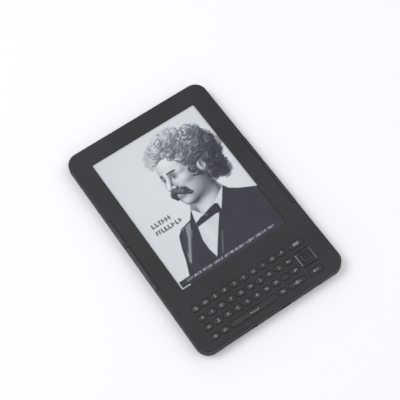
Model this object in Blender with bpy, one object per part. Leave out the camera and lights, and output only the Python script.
"""A six-inch e-reader with a letter keyboard, lying on its back.

The frame is in metres with +Z out of the screen, +Y towards the top edge and +X to the reader's
right. The origin is the middle of the flat back. Each piece that comes apart on a bench is one
object with its own material.
"""

import math

import bmesh
import bpy
from mathutils import Matrix

MM = 0.001

# Driving dimensions of the case, in millimetres
CASE_WIDTH = 123.0
CASE_HEIGHT = 190.0
CASE_CORNER = 10.0
FACE_TOP = 8.5
FACE_THICKNESS = 1.0
SPLIT = 5.6
SEAT_GAP = 0.1
FRONT_WALL = 1.5
REAR_WALL = 1.8
REAR_FLOOR = 1.1
FRONT_EDGE_RADIUS = 1.2
BACK_TAPER_IN = 5.5
BACK_TAPER_UP = 1.6
CAVITY_TAPER_IN = 4.5
CAVITY_TAPER_UP = 1.3

# Screen window and the panel behind it
WINDOW_WIDTH = 91.4
WINDOW_HEIGHT = 123.2
WINDOW_Y = 17.3
WINDOW_CORNER = 0.8
PANEL_SIZE = (102.0, 134.5, 1.2)
PANEL_Y = 14.25
PANEL_BOTTOM = 6.1
PANEL_CORNER = 0.4

# Keyboard grid: the first letter's centre, and the step from key to key
FIRST_KEY_X = -45.95
FIRST_KEY_Y = -61.85
KEY_STEP_X = 8.22
KEY_STEP_Y = 8.26
KEY_WIDTH = 6.4
KEY_DEPTH = 4.8
KEY_CORNER = 2.2
KEY_TOP = 8.95
KEY_CLEARANCE = 0.2
FLANGE_LIP = 0.5
FLANGE_BOTTOM = 7.0
FLANGE_TOP = 7.35
KEY_EDGE = 0.3
WIDE_KEY = 12.0
NAV_X = 40.4
HOME_COLUMN = 8.5
SPACE_COLUMN = 4

# Five-way controller, centred between the second and third rows
NAV_Y = FIRST_KEY_Y - 1.5 * KEY_STEP_Y
NAV_SIZE = 12.6
NAV_HOLE = 7.0
NAV_BOTTOM = 6.75
NAV_TOP = 8.9
NAV_CORNER = 1.4
NAV_CLEARANCE = 0.25
NAV_TONGUE = (13.6, 5.0, 0.25)
ROCKER_SIZE = (9.0, 4.4, 0.3)
ROCKER_BOTTOM = 6.2
ROCKER_CORNER = 0.8
SELECT_SIZE = 6.4
SELECT_BOTTOM = 7.05
SELECT_TOP = 8.8
SELECT_CORNER = 0.6

# Page-turn buttons: a bar in the side edge, with an arm that reaches in to its pivot
PAGE_BAR_IN = 58.9
PAGE_BAR_OUT = 61.8
PAGE_BAR_BOTTOM = 6.5
PAGE_ARM_IN = 56.4
PAGE_ARM_BOTTOM = 6.4
PAGE_ARM_TOP = 7.2
PAGE_PIVOT = (56.8, 6.75)
PAGE_CLEARANCE = 0.3
PAGE_BUTTONS = {"next": (-14.0, 40.0), "previous": (20.5, 22.0)}

# Bottom edge, from left to right
EDGE_CONTROL_Z = 3.6
EDGE_CONTROL_TALL = 1.7
EDGE_PROUD = 0.35
EDGE_CLEARANCE = 0.3
EDGE_SLOT_ROOM = 0.25
EDGE_ROUND = 0.25
EDGE_CUT_DEPTH = 10.0
EDGE_FLANGE_Y = -92.4
EDGE_FLANGE_THICKNESS = 0.7
EDGE_FLANGE_LIP = 1.5
VOLUME_X = -38.0
VOLUME_LONG = 15.0
JACK_X = -18.0
JACK_Z = 3.3
JACK_BORE = 3.5
JACK_BORE_LONG = 16.0
JACK_BORE_Y = -88.6
JACK_BARREL = 4.0
JACK_SKIN = 1.0
JACK_CLEARANCE = 0.15
JACK_POCKET = 6.0
JACK_BODY = (6.0, 9.6, 3.8)
JACK_BODY_PLACE = (-83.8, 1.4)
MICROPHONE_X = -4.5
MICROPHONE_RADIUS = 0.5
USB_X = 8.0
USB_OPENING = (8.4, 2.9)
USB_OPENING_BOTTOM = 2.25
USB_SHELL = (7.6, 5.6, 2.45)
USB_SHELL_PLACE = (-91.4, 2.47)
USB_MOUTH = (6.9, 5.0, 1.85)
USB_BLADE = (3.7, 4.2, 0.55)
USB_BLADE_PLACE = (-91.0, 3.5)
USB_SKIN = 0.3
POWER_X = 33.0
POWER_LONG = 7.5
POWER_TRAVEL = 2.5

# Side slots for a cover's hooks, and the tongues that snap the two housings together
HOOK_SLOT = (7.0, 9.0, 2.0)
HOOK_SLOT_Y = 62.0
HOOK_SLOT_BOTTOM = 2.6
TAB_LONG = 8.0
TAB_DEEP = 1.1
TAB_BOTTOM = 3.6
TAB_TOP = 6.6
TAB_OVERLAP = 0.1
SIDE_TAB_Y = 66.0
END_TAB_X = 30.0

# Chassis plate with its openings
FRAME_SIZE = (114.0, 182.0, 0.8)
FRAME_CORNER = 6.0
FRAME_BOTTOM = 4.95
KEYBOARD_BAY = (107.0, 40.0)
KEYBOARD_BAY_Y = -77.0
CABLE_WINDOW = (26.0, 7.0)
CABLE_WINDOW_PLACE = (14.0, -49.0)
FRAME_WINDOW = (34.0, 20.0)
FRAME_WINDOW_X = 30.0
FRAME_WINDOW_ROWS = (-8.0, 26.0, 60.0)

# Switch board and rubber mat under the keys
KEYPAD_Y = -74.5
KEYPAD_BOARD = (105.0, 32.5, 0.55)
KEYPAD_BOARD_BOTTOM = 5.4
KEYPAD_MAT = (104.0, 32.0, 0.4)
KEYPAD_MAT_BOTTOM = 6.0
KEYPAD_CORNER = 1.5
NAV_BAY = 15.0

# Main board: a strip across the reader, a foot between the speakers and an arm beside the battery
BOARD_BOTTOM = 1.7
BOARD_THICKNESS = 0.7
BOARD_STRIP = (110.0, 32.0)
BOARD_STRIP_Y = -41.0
BOARD_FOOT = (66.0, 40.0)
BOARD_FOOT_Y = -71.5
BOARD_ARM = (56.0, 110.0)
BOARD_ARM_PLACE = (27.0, 20.0)
BOARD_CORNER = 1.0
JACK_NOTCH = (7.4, 16.0)
JACK_NOTCH_Y = -85.0
SHIELD_SIZE = (32.0, 36.0, 1.8)
SHIELD_PLACE = (24.0, 26.0)
WIRELESS_SIZE = (28.0, 20.0, 1.6)
WIRELESS_PLACE = (26.0, 60.0)
SOLDER_GAP = 0.05

# Battery, speakers and the speakers' slots in the back
BATTERY_SIZE = (50.0, 86.0, 3.4)
BATTERY_PLACE = (-29.5, 23.0)
BATTERY_CORNER = 1.2
SPEAKER_SIZE = (13.0, 21.0, 3.0)
SPEAKER_X = 44.0
SPEAKER_Y = -75.5
SPEAKER_CORNER = 2.5
SEATED_BOTTOM = 1.25
GRILLE_SLOTS = 6
GRILLE_PITCH = 2.6
GRILLE_SLOT = (9.0, 1.1)
GRILLE_CORNER = 0.5

CORNER_STEPS = 8
KEY_STEPS = 2
HIDDEN_STEPS = 3
EDGE_STEPS = 3
ARC_STEPS = 4
THROUGH = 2.0

LETTER_ROWS = ("qwertyuiop", "asdfghjkl", "zxcvbnm")


def clear_scene():
    for old in list(bpy.data.objects):
        bpy.data.objects.remove(old, do_unlink=True)


def new_collection(name, hidden=False):
    group = bpy.data.collections.new(name)
    bpy.context.scene.collection.children.link(group)
    group.hide_render = hidden
    return group


def principled(name, colour, roughness, metallic=0.0):
    made = bpy.data.materials.new(name)
    made.use_nodes = True
    shader = made.node_tree.nodes["Principled BSDF"]
    shader.inputs["Base Color"].default_value = (*colour, 1.0)
    shader.inputs["Roughness"].default_value = roughness
    shader.inputs["Metallic"].default_value = metallic
    return made


def rounded_box(width, depth, height, corner=0.0, steps=HIDDEN_STEPS):
    """A box standing on z = 0 with its upright edges rounded. Sizes are in millimetres."""
    shape = bmesh.new()
    bmesh.ops.create_cube(shape, size=1.0)
    bmesh.ops.scale(shape, vec=(width * MM, depth * MM, height * MM), verts=shape.verts)
    bmesh.ops.translate(shape, vec=(0, 0, height * MM / 2), verts=shape.verts)
    if corner:
        upright = [e for e in shape.edges if abs(e.verts[0].co.z - e.verts[1].co.z) > height * MM / 2]
        bevel(shape, upright, corner, steps)
    return shape


def bevel(shape, edges, width, steps):
    bmesh.ops.bevel(
        shape,
        geom=edges,
        offset=width * MM,
        offset_type="OFFSET",
        affect="EDGES",
        segments=steps,
        profile=0.5,
        clamp_overlap=False,
    )


def rim_edges(shape, level):
    """The edges of a shape that lie at one height, in millimetres."""
    near = MM / 1000
    return [e for e in shape.edges if all(abs(v.co.z - level * MM) < near for v in e.verts)]


def tapered_box(width, depth, height, corner, taper_in, taper_up):
    """A rounded box whose bottom rim curves inwards further than it rises: a stretched box, bevelled."""
    stretch = taper_in / taper_up
    shape = rounded_box(width, depth, height * stretch, corner, CORNER_STEPS)
    bevel(shape, rim_edges(shape, 0.0), taper_in, ARC_STEPS)
    bmesh.ops.scale(shape, vec=(1, 1, 1 / stretch), verts=shape.verts)
    return shape


def cylinder(radius, length, steps=24):
    """A cylinder along Y, centred on the origin."""
    shape = bmesh.new()
    bmesh.ops.create_cone(
        shape, cap_ends=True, segments=steps, radius1=radius * MM, radius2=radius * MM, depth=length * MM
    )
    bmesh.ops.rotate(shape, cent=(0, 0, 0), matrix=Matrix.Rotation(math.pi / 2, 3, "X"), verts=shape.verts)
    return shape


def add_object(name, shape, place, group, material=None, parent=None):
    """Turns a bmesh into an object at a place in millimetres."""
    mesh = bpy.data.meshes.new(name)
    bmesh.ops.recalc_face_normals(shape, faces=shape.faces)
    shape.to_mesh(mesh)
    shape.free()
    made = bpy.data.objects.new(name, mesh)
    group.objects.link(made)
    made.location = [axis * MM for axis in place]
    if material:
        mesh.materials.append(material)
    if parent:
        made.parent = parent
    return made


def add_cutter(name, shape, place, group):
    made = add_object(name, shape, place, group)
    made.hide_render = True
    made.display_type = "WIRE"
    return made


def cut_with(target, group):
    modifier = target.modifiers.new("openings", "BOOLEAN")
    modifier.operation = "DIFFERENCE"
    modifier.operand_type = "COLLECTION"
    modifier.collection = group
    modifier.solver = "EXACT"


def join_with(target, group):
    modifier = target.modifiers.new("joined", "BOOLEAN")
    modifier.operation = "UNION"
    modifier.operand_type = "COLLECTION"
    modifier.collection = group
    modifier.solver = "EXACT"


def smooth(target, degrees=35):
    target.data.shade_smooth()
    target.data.set_sharp_from_angle(angle=math.radians(degrees))


def column_x(column):
    return FIRST_KEY_X + column * KEY_STEP_X


def row_y(row):
    return FIRST_KEY_Y - row * KEY_STEP_Y


def key_layout():
    """(name, x, y, width) of every key, row by row."""
    keys = []
    first_columns = (0, 0, 1)
    for row, letters in enumerate(LETTER_ROWS):
        for i, letter in enumerate(letters):
            keys.append((letter, column_x(first_columns[row] + i), row_y(row), KEY_WIDTH))
    singles = {"del": (9, 1), "alt": (0, 2), "period": (8, 2), "enter": (9, 2)}
    singles.update({"shift": (0, 3), "sym": (1, 3), "text": (7, 3)})
    for name, (column, row) in singles.items():
        keys.append((name, column_x(column), row_y(row), KEY_WIDTH))
    keys.append(("space", column_x(SPACE_COLUMN), row_y(3), 4 * KEY_STEP_X + KEY_WIDTH))
    keys.append(("home", column_x(HOME_COLUMN), row_y(3), KEY_STEP_X + KEY_WIDTH))
    keys.append(("menu", NAV_X, row_y(0), WIDE_KEY))
    keys.append(("back", NAV_X, row_y(3), WIDE_KEY))
    return keys


def make_key(name, x, y, width, group, material):
    """A cap that stands through the face, over a wider flange that keeps it from falling out."""
    flange = (width + 2 * FLANGE_LIP, KEY_DEPTH + 2 * FLANGE_LIP)
    shape = rounded_box(*flange, FLANGE_TOP - FLANGE_BOTTOM, KEY_CORNER + FLANGE_LIP, KEY_STEPS)
    top = max(shape.faces, key=lambda face: face.calc_center_median().z)
    bmesh.ops.inset_region(shape, faces=[top], thickness=FLANGE_LIP * MM, use_even_offset=True)
    lifted = bmesh.ops.extrude_face_region(shape, geom=[top])["geom"]
    corners = [part for part in lifted if isinstance(part, bmesh.types.BMVert)]
    bmesh.ops.translate(shape, vec=(0, 0, (KEY_TOP - FLANGE_TOP) * MM), verts=corners)
    if top.is_valid:
        bmesh.ops.delete(shape, geom=[top], context="FACES_ONLY")
    bevel(shape, rim_edges(shape, KEY_TOP - FLANGE_BOTTOM), KEY_EDGE, 1)
    made = add_object("key_" + name, shape, (x, y, FLANGE_BOTTOM), group, material)
    smooth(made)
    return made


def make_keys(group, holes, material):
    hole_depth = FACE_THICKNESS + 2 * THROUGH
    hole_z = FACE_TOP - FACE_THICKNESS - THROUGH
    for name, x, y, width in key_layout():
        make_key(name, x, y, width, group, material)
        size = (width + 2 * KEY_CLEARANCE, KEY_DEPTH + 2 * KEY_CLEARANCE)
        hole = rounded_box(*size, hole_depth, KEY_CORNER + KEY_CLEARANCE, KEY_STEPS)
        add_cutter("hole_" + name, hole, (x, y, hole_z), holes)


def make_navigation(group, holes, cap, plastic):
    """The ring tips on a rocker bar, and the select button stands in the ring. Tongues keep the ring in."""
    height = NAV_TOP - NAV_BOTTOM
    ring_cut = new_collection("ring_cutters", hidden=True)
    ring_tongues = new_collection("ring_tongues", hidden=True)
    long, wide, thick = NAV_TONGUE
    for name, size in (("across", (long, wide)), ("along", (wide, long))):
        add_cutter("tongue_" + name, rounded_box(*size, thick), (NAV_X, NAV_Y, NAV_BOTTOM), ring_tongues)
    inner = rounded_box(NAV_HOLE, NAV_HOLE, height + 2 * THROUGH, NAV_CORNER / 2, KEY_STEPS)
    add_cutter("ring_opening", inner, (NAV_X, NAV_Y, NAV_BOTTOM - THROUGH), ring_cut)

    ring_shape = rounded_box(NAV_SIZE, NAV_SIZE, height, NAV_CORNER, HIDDEN_STEPS)
    bevel(ring_shape, rim_edges(ring_shape, height), KEY_EDGE, 1)
    ring = add_object("nav_ring", ring_shape, (NAV_X, NAV_Y, NAV_BOTTOM), group, cap)
    join_with(ring, ring_tongues)
    cut_with(ring, ring_cut)

    select_height = SELECT_TOP - SELECT_BOTTOM
    select_shape = rounded_box(SELECT_SIZE, SELECT_SIZE, select_height, SELECT_CORNER, KEY_STEPS)
    bevel(select_shape, rim_edges(select_shape, select_height), KEY_EDGE, 1)
    add_object("nav_select", select_shape, (NAV_X, NAV_Y, SELECT_BOTTOM), group, cap)

    rocker = rounded_box(*ROCKER_SIZE, ROCKER_CORNER, KEY_STEPS)
    add_object("nav_rocker", rocker, (NAV_X, NAV_Y, ROCKER_BOTTOM), group, plastic)

    opening = NAV_SIZE + 2 * NAV_CLEARANCE
    deep = FACE_THICKNESS + 2 * THROUGH
    hole = rounded_box(opening, opening, deep, NAV_CORNER + NAV_CLEARANCE, HIDDEN_STEPS)
    add_cutter("hole_nav", hole, (NAV_X, NAV_Y, FACE_TOP - FACE_THICKNESS - THROUGH), holes)


def page_profile():
    """The bar's section, as (x, z) from its pivot, going round once. Its outer top edge is an arc."""
    pivot_x, pivot_z = PAGE_PIVOT
    points = [(PAGE_ARM_IN, PAGE_ARM_BOTTOM), (PAGE_BAR_IN, PAGE_ARM_BOTTOM), (PAGE_BAR_IN, PAGE_BAR_BOTTOM)]
    points.append((PAGE_BAR_OUT, PAGE_BAR_BOTTOM))
    radius = FRONT_EDGE_RADIUS
    for step in range(ARC_STEPS + 1):
        angle = math.radians(90 * step / ARC_STEPS)
        x = PAGE_BAR_OUT - radius + radius * math.cos(angle)
        points.append((x, FACE_TOP - radius + radius * math.sin(angle)))
    points += [(PAGE_BAR_IN, FACE_TOP), (PAGE_BAR_IN, PAGE_ARM_TOP), (PAGE_ARM_IN, PAGE_ARM_TOP)]
    return [(x - pivot_x, z - pivot_z) for x, z in points]


def page_bar(length, side):
    """The section swept along Y by extruding one face. Side is 1 on the right and -1 on the left."""
    shape = bmesh.new()
    corners = [shape.verts.new((side * x * MM, -length * MM / 2, z * MM)) for x, z in page_profile()]
    end = shape.faces.new(corners)
    swept = bmesh.ops.extrude_face_region(shape, geom=[end], use_keep_orig=True)["geom"]
    moved = [part for part in swept if isinstance(part, bmesh.types.BMVert)]
    bmesh.ops.translate(shape, vec=(0, length * MM, 0), verts=moved)
    return shape


def make_page_buttons(group, holes, material):
    slot_in = PAGE_BAR_IN - PAGE_CLEARANCE
    slot_out = CASE_WIDTH / 2 + THROUGH
    for side_name, side in (("left", -1), ("right", 1)):
        for use, (y, length) in PAGE_BUTTONS.items():
            pivot = (side * PAGE_PIVOT[0], y, PAGE_PIVOT[1])
            name = f"{side_name}_{use}_page_button"
            button = add_object(name, page_bar(length, side), pivot, group, material)
            smooth(button)
            room = length + 2 * PAGE_CLEARANCE
            slot = rounded_box(slot_out - slot_in, room, FACE_TOP - SPLIT + 2 * THROUGH)
            middle = side * (slot_in + slot_out) / 2
            add_cutter("slot_" + name, slot, (middle, y, SPLIT - THROUGH), holes)


def make_front_housing(group, holes, material):
    bottom = SPLIT + SEAT_GAP
    height = FACE_TOP - bottom
    shape = rounded_box(CASE_WIDTH, CASE_HEIGHT, height, CASE_CORNER, CORNER_STEPS)
    bevel(shape, rim_edges(shape, height), FRONT_EDGE_RADIUS, EDGE_STEPS)
    housing = add_object("front_housing", shape, (0, 0, bottom), group, material)
    inner = (CASE_WIDTH - 2 * FRONT_WALL, CASE_HEIGHT - 2 * FRONT_WALL)
    room = FACE_TOP - FACE_THICKNESS - bottom + THROUGH
    cavity = rounded_box(*inner, room, CASE_CORNER - FRONT_WALL, CORNER_STEPS)
    add_cutter("front_cavity", cavity, (0, 0, bottom - THROUGH), holes)
    depth = FACE_THICKNESS + 2 * THROUGH
    window = rounded_box(WINDOW_WIDTH, WINDOW_HEIGHT, depth, WINDOW_CORNER, KEY_STEPS)
    add_cutter("screen_window", window, (0, WINDOW_Y, FACE_TOP - FACE_THICKNESS - THROUGH), holes)
    cut_with(housing, holes)
    smooth(housing)


def bottom_edge_cutters(holes):
    """Openings in the bottom edge for the volume rocker, the sockets and the power slider."""
    bottom = -CASE_HEIGHT / 2
    deep = EDGE_CUT_DEPTH
    slot_tall = EDGE_CONTROL_TALL + 2 * EDGE_SLOT_ROOM
    slot_z = EDGE_CONTROL_Z - slot_tall / 2
    volume = rounded_box(VOLUME_LONG + 2 * EDGE_CLEARANCE, deep, slot_tall)
    add_cutter("volume_slot", volume, (VOLUME_X, bottom, slot_z), holes)
    power = rounded_box(POWER_LONG + POWER_TRAVEL + 2 * EDGE_CLEARANCE, deep, slot_tall)
    add_cutter("power_slot", power, (POWER_X + POWER_TRAVEL / 2, bottom, slot_z), holes)
    add_cutter("jack_hole", cylinder(JACK_BORE / 2 + 0.1, deep), (JACK_X, bottom, JACK_Z), holes)
    pocket_y = bottom + JACK_SKIN + JACK_POCKET / 2
    pocket = cylinder(JACK_BARREL / 2 + JACK_CLEARANCE, JACK_POCKET)
    add_cutter("jack_pocket", pocket, (JACK_X, pocket_y, JACK_Z), holes)
    usb = rounded_box(USB_OPENING[0], deep, USB_OPENING[1])
    add_cutter("usb_opening", usb, (USB_X, bottom, USB_OPENING_BOTTOM), holes)
    microphone = cylinder(MICROPHONE_RADIUS, deep, 10)
    add_cutter("microphone_hole", microphone, (MICROPHONE_X, bottom, EDGE_CONTROL_Z), holes)


def rear_cutters(holes):
    """Cover-hook slots in the left edge and speaker slots in the back."""
    for sign in (-1, 1):
        place = (-CASE_WIDTH / 2, sign * HOOK_SLOT_Y, HOOK_SLOT_BOTTOM)
        add_cutter(f"hook_slot_{sign}", rounded_box(*HOOK_SLOT), place, holes)
        for i in range(GRILLE_SLOTS):
            slot = rounded_box(*GRILLE_SLOT, REAR_FLOOR + 2 * THROUGH, GRILLE_CORNER, KEY_STEPS)
            y = SPEAKER_Y + (i - (GRILLE_SLOTS - 1) / 2) * GRILLE_PITCH
            add_cutter(f"speaker_slot_{sign}_{i}", slot, (sign * SPEAKER_X, y, -THROUGH), holes)


def snap_tabs(tabs):
    """Four tongues that stand up from the rear cover's wall into the front housing."""
    inset = REAR_WALL - TAB_OVERLAP
    tall = TAB_TOP - TAB_BOTTOM
    side_x = CASE_WIDTH / 2 - inset - TAB_DEEP / 2
    end_y = CASE_HEIGHT / 2 - inset - TAB_DEEP / 2
    for sign in (-1, 1):
        side_tab = rounded_box(TAB_DEEP, TAB_LONG, tall)
        add_cutter(f"side_tab_{sign}", side_tab, (sign * side_x, SIDE_TAB_Y, TAB_BOTTOM), tabs)
        end_tab = rounded_box(TAB_LONG, TAB_DEEP, tall)
        add_cutter(f"end_tab_{sign}", end_tab, (sign * END_TAB_X, end_y, TAB_BOTTOM), tabs)


def make_rear_cover(group, holes, tabs, material):
    size = (CASE_WIDTH, CASE_HEIGHT, SPLIT)
    shape = tapered_box(*size, CASE_CORNER, BACK_TAPER_IN, BACK_TAPER_UP)
    cover = add_object("rear_cover", shape, (0, 0, 0), group, material)
    inner = (CASE_WIDTH - 2 * REAR_WALL, CASE_HEIGHT - 2 * REAR_WALL, SPLIT - REAR_FLOOR + THROUGH)
    cavity = tapered_box(*inner, CASE_CORNER - REAR_WALL, CAVITY_TAPER_IN, CAVITY_TAPER_UP)
    add_cutter("rear_cavity", cavity, (0, 0, REAR_FLOOR), holes)
    bottom_edge_cutters(holes)
    rear_cutters(holes)
    cut_with(cover, holes)
    snap_tabs(tabs)
    join_with(cover, tabs)
    smooth(cover)


def make_edge_controls(group, material):
    """The volume rocker and the power slider: a bar in the bottom edge with a flange behind the wall."""
    outer = -CASE_HEIGHT / 2 - EDGE_PROUD
    flange = new_collection("edge_flanges", hidden=True)
    for name, x, long in (("volume_rocker", VOLUME_X, VOLUME_LONG), ("power_slider", POWER_X, POWER_LONG)):
        deep = EDGE_FLANGE_Y - outer
        shape = rounded_box(long, deep, EDGE_CONTROL_TALL)
        front = [e for e in shape.edges if all(v.co.y < 0 for v in e.verts)]
        bevel(shape, front, EDGE_ROUND, KEY_STEPS)
        z = EDGE_CONTROL_Z - EDGE_CONTROL_TALL / 2
        bar = add_object(name, shape, (x, outer + deep / 2, z), group, material)
        own = bpy.data.collections.new(name + "_flange")
        flange.children.link(own)
        lower = 0.1
        plate = rounded_box(long + 2 * EDGE_FLANGE_LIP, EDGE_FLANGE_THICKNESS, EDGE_CONTROL_TALL - 2 * lower)
        add_cutter(name + "_plate", plate, (x, EDGE_FLANGE_Y, z + lower), own)
        join_with(bar, own)


def make_display(group, glass):
    panel = rounded_box(*PANEL_SIZE, PANEL_CORNER, KEY_STEPS)
    add_object("display_panel", panel, (0, PANEL_Y, PANEL_BOTTOM), group, glass)


def make_mid_frame(group, metal):
    """The chassis plate: whole behind the screen, with two rails beside the keyboard."""
    frame_cut = new_collection("frame_cutters", hidden=True)
    shape = rounded_box(*FRAME_SIZE, FRAME_CORNER, HIDDEN_STEPS)
    plate = add_object("mid_frame", shape, (0, 0, FRAME_BOTTOM), group, metal)
    low = FRAME_BOTTOM - THROUGH
    deep = FRAME_SIZE[2] + 2 * THROUGH
    add_cutter("keyboard_bay", rounded_box(*KEYBOARD_BAY, deep), (0, KEYBOARD_BAY_Y, low), frame_cut)
    add_cutter("cable_window", rounded_box(*CABLE_WINDOW, deep, 1.5), (*CABLE_WINDOW_PLACE, low), frame_cut)
    for i, y in enumerate(FRAME_WINDOW_ROWS):
        for name, x in (("battery", -FRAME_WINDOW_X), ("board", FRAME_WINDOW_X)):
            window = rounded_box(*FRAME_WINDOW, deep, 3.0)
            add_cutter(f"{name}_window_{i}", window, (x, y, low), frame_cut)
    cut_with(plate, frame_cut)


def make_keyboard_stack(group, rubber, board):
    """The switch board in the frame's bay, with the rubber mat on it."""
    circuit = rounded_box(*KEYPAD_BOARD, KEYPAD_CORNER, KEY_STEPS)
    add_object("keypad_board", circuit, (0, KEYPAD_Y, KEYPAD_BOARD_BOTTOM), group, board)
    mat_cut = new_collection("mat_cutters", hidden=True)
    bay = rounded_box(NAV_BAY, NAV_BAY, 2 * THROUGH, 1.0, KEY_STEPS)
    add_cutter("nav_clearance", bay, (NAV_X, NAV_Y, KEYPAD_MAT_BOTTOM - 1.0), mat_cut)
    sheet = rounded_box(*KEYPAD_MAT, KEYPAD_CORNER, KEY_STEPS)
    mat = add_object("keypad_mat", sheet, (0, KEYPAD_Y, KEYPAD_MAT_BOTTOM), group, rubber)
    cut_with(mat, mat_cut)


def make_main_board(group, board, metal):
    """An L-shaped board with a foot between the speakers, and the two metal cans on it."""
    arms = new_collection("board_arms", hidden=True)
    notches = new_collection("board_notches", hidden=True)
    strip = rounded_box(*BOARD_STRIP, BOARD_THICKNESS, BOARD_CORNER, 1)
    circuit = add_object("main_board", strip, (0, BOARD_STRIP_Y, BOARD_BOTTOM), group, board)
    foot = rounded_box(*BOARD_FOOT, BOARD_THICKNESS, BOARD_CORNER, 1)
    add_cutter("board_foot", foot, (0, BOARD_FOOT_Y, BOARD_BOTTOM), arms)
    arm = rounded_box(*BOARD_ARM, BOARD_THICKNESS, BOARD_CORNER, 1)
    add_cutter("board_arm", arm, (*BOARD_ARM_PLACE, BOARD_BOTTOM), arms)
    join_with(circuit, arms)
    notch = rounded_box(*JACK_NOTCH, 2 * THROUGH)
    add_cutter("jack_notch", notch, (JACK_X, JACK_NOTCH_Y, BOARD_BOTTOM - THROUGH), notches)
    cut_with(circuit, notches)
    top = BOARD_BOTTOM + BOARD_THICKNESS + SOLDER_GAP
    shield = rounded_box(*SHIELD_SIZE, BOARD_CORNER, KEY_STEPS)
    add_object("processor_shield", shield, (*SHIELD_PLACE, top), group, metal)
    wireless = rounded_box(*WIRELESS_SIZE, BOARD_CORNER, KEY_STEPS)
    add_object("wireless_module", wireless, (*WIRELESS_PLACE, top), group, metal)


def make_sockets(group, metal, plastic):
    """The charging socket and the headphone socket, both open at the bottom edge."""
    usb_cut = new_collection("usb_cutters", hidden=True)
    usb = rounded_box(*USB_SHELL, 0.5, KEY_STEPS)
    shell = add_object("usb_socket", usb, (USB_X, *USB_SHELL_PLACE), group, metal)
    mouth = rounded_box(*USB_MOUTH, 0.4, KEY_STEPS)
    mouth_y = USB_SHELL_PLACE[0] - 1.0
    add_cutter("usb_mouth", mouth, (USB_X, mouth_y, USB_SHELL_PLACE[1] + USB_SKIN), usb_cut)
    cut_with(shell, usb_cut)
    tongue = new_collection("usb_tongue", hidden=True)
    add_cutter("usb_blade", rounded_box(*USB_BLADE), (USB_X, *USB_BLADE_PLACE), tongue)
    join_with(shell, tongue)

    barrel = new_collection("jack_barrel", hidden=True)
    bore = new_collection("jack_bore", hidden=True)
    body = rounded_box(*JACK_BODY, 0.5, KEY_STEPS)
    jack = add_object("headphone_socket", body, (JACK_X, *JACK_BODY_PLACE), group, plastic)
    front = -CASE_HEIGHT / 2 + JACK_SKIN + 0.2
    long = JACK_POCKET - 0.2
    add_cutter("barrel", cylinder(JACK_BARREL / 2, long), (JACK_X, front + long / 2, JACK_Z), barrel)
    join_with(jack, barrel)
    add_cutter("bore", cylinder(JACK_BORE / 2, JACK_BORE_LONG), (JACK_X, JACK_BORE_Y, JACK_Z), bore)
    cut_with(jack, bore)


def make_inner_pieces(group, battery_foil, speaker_black):
    battery = rounded_box(*BATTERY_SIZE, BATTERY_CORNER, KEY_STEPS)
    add_object("battery_pack", battery, (*BATTERY_PLACE, SEATED_BOTTOM), group, battery_foil)
    for side_name, side in (("left", -1), ("right", 1)):
        speaker = rounded_box(*SPEAKER_SIZE, SPEAKER_CORNER, HIDDEN_STEPS)
        place = (side * SPEAKER_X, SPEAKER_Y, SEATED_BOTTOM)
        add_object(side_name + "_speaker", speaker, place, group, speaker_black)


def main():
    clear_scene()
    group = new_collection("e_reader")
    front_holes = new_collection("front_cutters", hidden=True)
    rear_holes = new_collection("rear_cutters", hidden=True)
    tabs = new_collection("snap_tabs", hidden=True)

    graphite = principled("graphite_housing", (0.045, 0.047, 0.051), 0.55)
    back_coat = principled("soft_back", (0.038, 0.040, 0.043), 0.7)
    key_plastic = principled("key_plastic", (0.040, 0.042, 0.046), 0.42)
    cap_plastic = principled("controller_plastic", (0.030, 0.031, 0.034), 0.3)
    side_plastic = principled("button_plastic", (0.035, 0.037, 0.040), 0.4)
    paper_white = principled("screen_paper", (0.62, 0.64, 0.65), 0.5)
    frame_metal = principled("frame_metal", (0.52, 0.53, 0.54), 0.4, 1.0)
    tin = principled("tinned_steel", (0.62, 0.62, 0.60), 0.3, 1.0)
    laminate = principled("board_laminate", (0.02, 0.09, 0.05), 0.5)
    silicone = principled("silicone_mat", (0.12, 0.12, 0.13), 0.7)
    foil = principled("battery_foil", (0.25, 0.25, 0.26), 0.35)
    black = principled("black_plastic", (0.02, 0.02, 0.02), 0.5)

    make_keys(group, front_holes, key_plastic)
    make_navigation(group, front_holes, cap_plastic, black)
    make_page_buttons(group, front_holes, side_plastic)
    make_front_housing(group, front_holes, graphite)
    make_rear_cover(group, rear_holes, tabs, back_coat)
    make_edge_controls(group, side_plastic)
    make_display(group, paper_white)
    make_mid_frame(group, frame_metal)
    make_keyboard_stack(group, silicone, laminate)
    make_main_board(group, laminate, tin)
    make_sockets(group, tin, black)
    make_inner_pieces(group, foil, black)


main()
